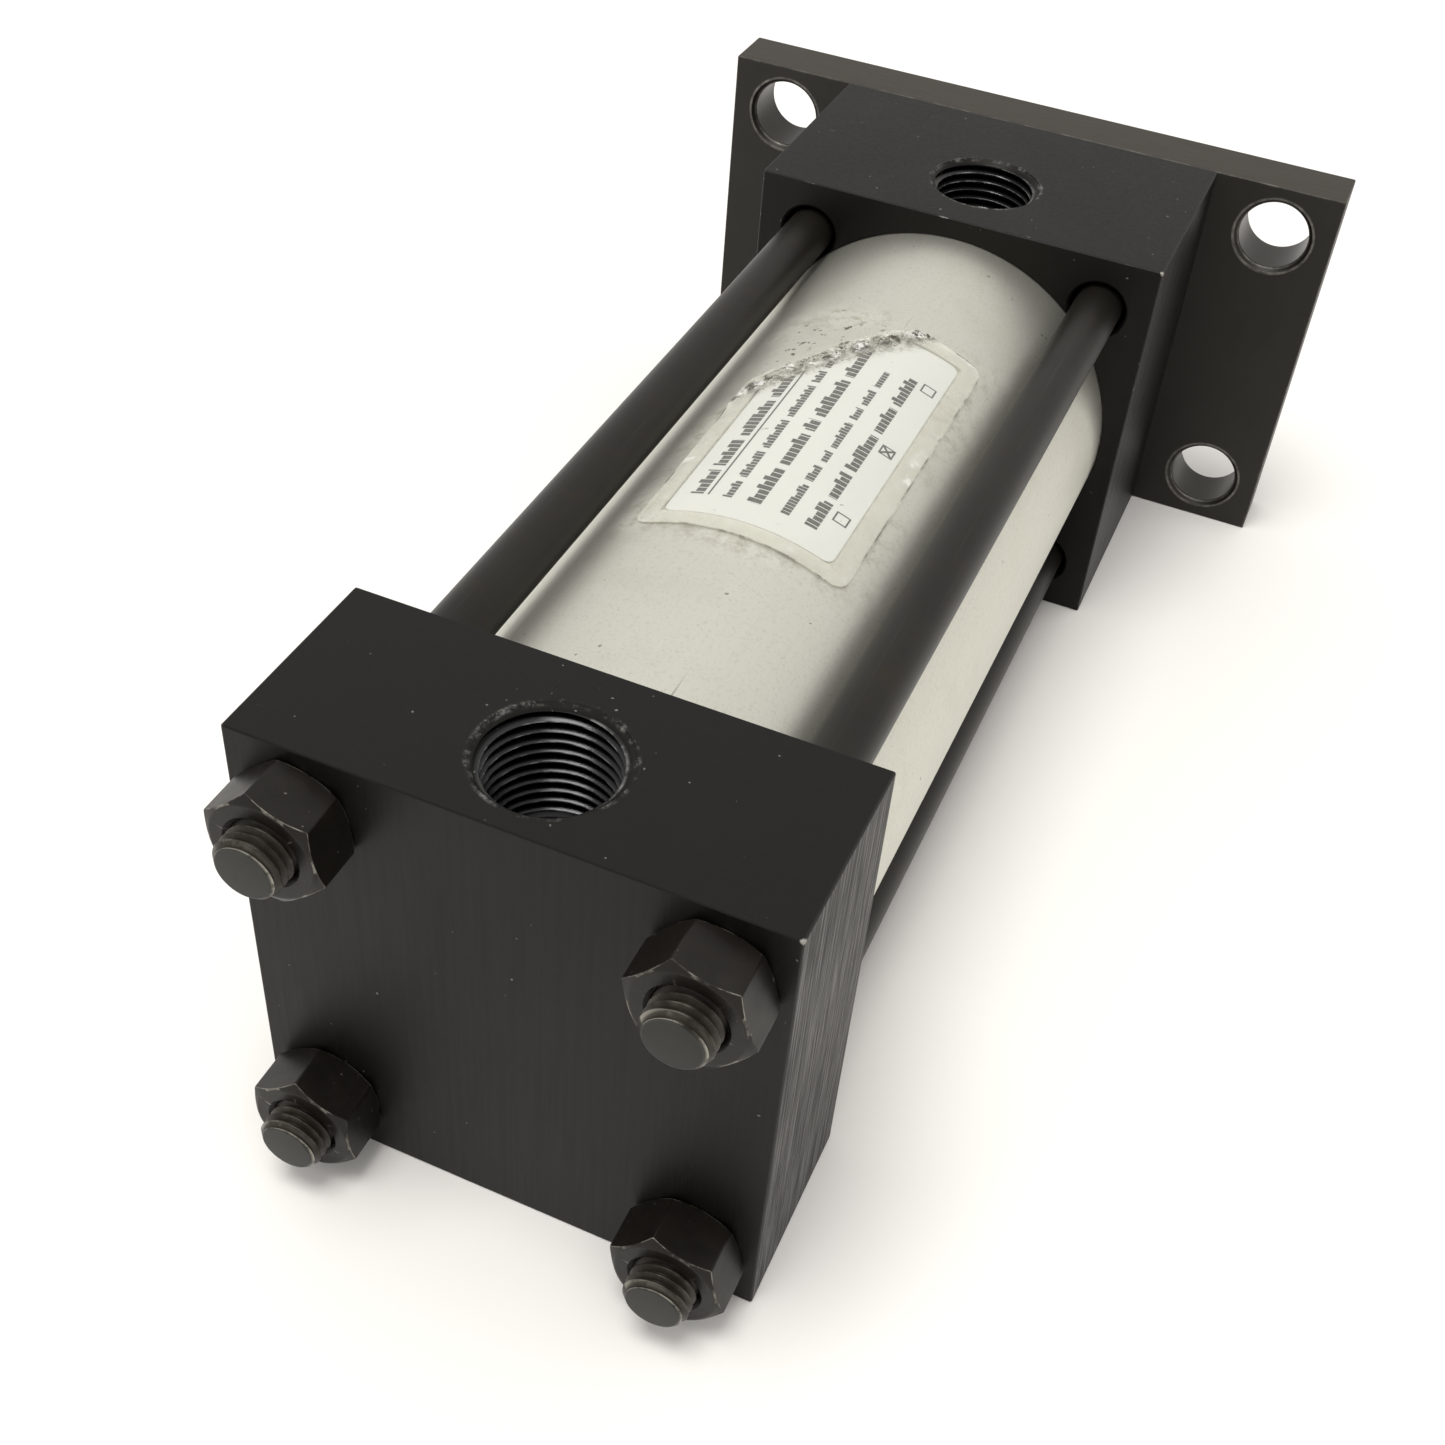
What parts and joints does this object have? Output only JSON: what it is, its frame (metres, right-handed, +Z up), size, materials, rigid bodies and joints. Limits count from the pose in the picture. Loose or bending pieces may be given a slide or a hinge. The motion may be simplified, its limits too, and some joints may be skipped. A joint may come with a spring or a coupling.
{
  "type": "pneumatic cylinder",
  "caption": "Square-head pneumatic tie-rod cylinder with a rectangular front flange, ports on top, a blind rear cap and a sliding, turning piston rod.",
  "frame": {"origin": "centre of the cap's rear face, on the rod's axis", "axes": "+Y along the rod, from the cap to the rod end; +Z up, out of both ports; +X to the right seen from the cap"},
  "size_m": [0.1048, 0.2354, 0.0636],
  "materials": {
    "black_anodised": "satin",
    "clear_anodised": "satin",
    "black_oxide": "satin",
    "black_rod": "satin",
    "black_nut": "satin",
    "bronze": "satin",
    "seal_rubber": "matte",
    "hard_chrome": "polished",
    "bare_aluminium": "satin",
    "acetal": "satin",
    "plated_steel": "satin",
    "label_white": "satin",
    "label_film": "gloss"
  },
  "bodies": {
    "cylinder": {"cap": "black_anodised", "head": "black_anodised", "barrel": "clear_anodised", "front_flange": "black_oxide", "cap_tube_seal": "seal_rubber", "head_tube_seal": "seal_rubber", "tie_rod_upper_left": "black_rod", "tie_rod_upper_right": "black_rod", "tie_rod_lower_left": "black_rod", "tie_rod_lower_right": "black_rod", "tie_rod_nut_upper_left": "black_nut", "tie_rod_nut_upper_right": "black_nut", "tie_rod_nut_lower_left": "black_nut", "tie_rod_nut_lower_right": "black_nut", "rod_bushing": "bronze", "bushing_o_ring": "seal_rubber", "rod_seal": "seal_rubber", "rod_wiper": "seal_rubber", "label": "label_white", "label_film": "label_film"},
    "piston_seals": {"wear_band": "acetal", "piston_seal_rear": "seal_rubber", "piston_seal_front": "seal_rubber"},
    "rod": {"piston_rod": "hard_chrome", "piston": "bare_aluminium", "piston_nut": "plated_steel", "piston_o_ring": "seal_rubber"}
  },
  "joints": [
    {"name": "rod_slide", "type": "slide", "parent": "cylinder", "child": "piston_seals", "axis": [0, 1, 0], "range_m": [0, 0.0889]},
    {"name": "rod_turn", "type": "hinge", "parent": "piston_seals", "child": "rod", "pos_m": [0, 0.0397, 0], "axis": [0, 1, 0], "continuous": true}
  ]
}
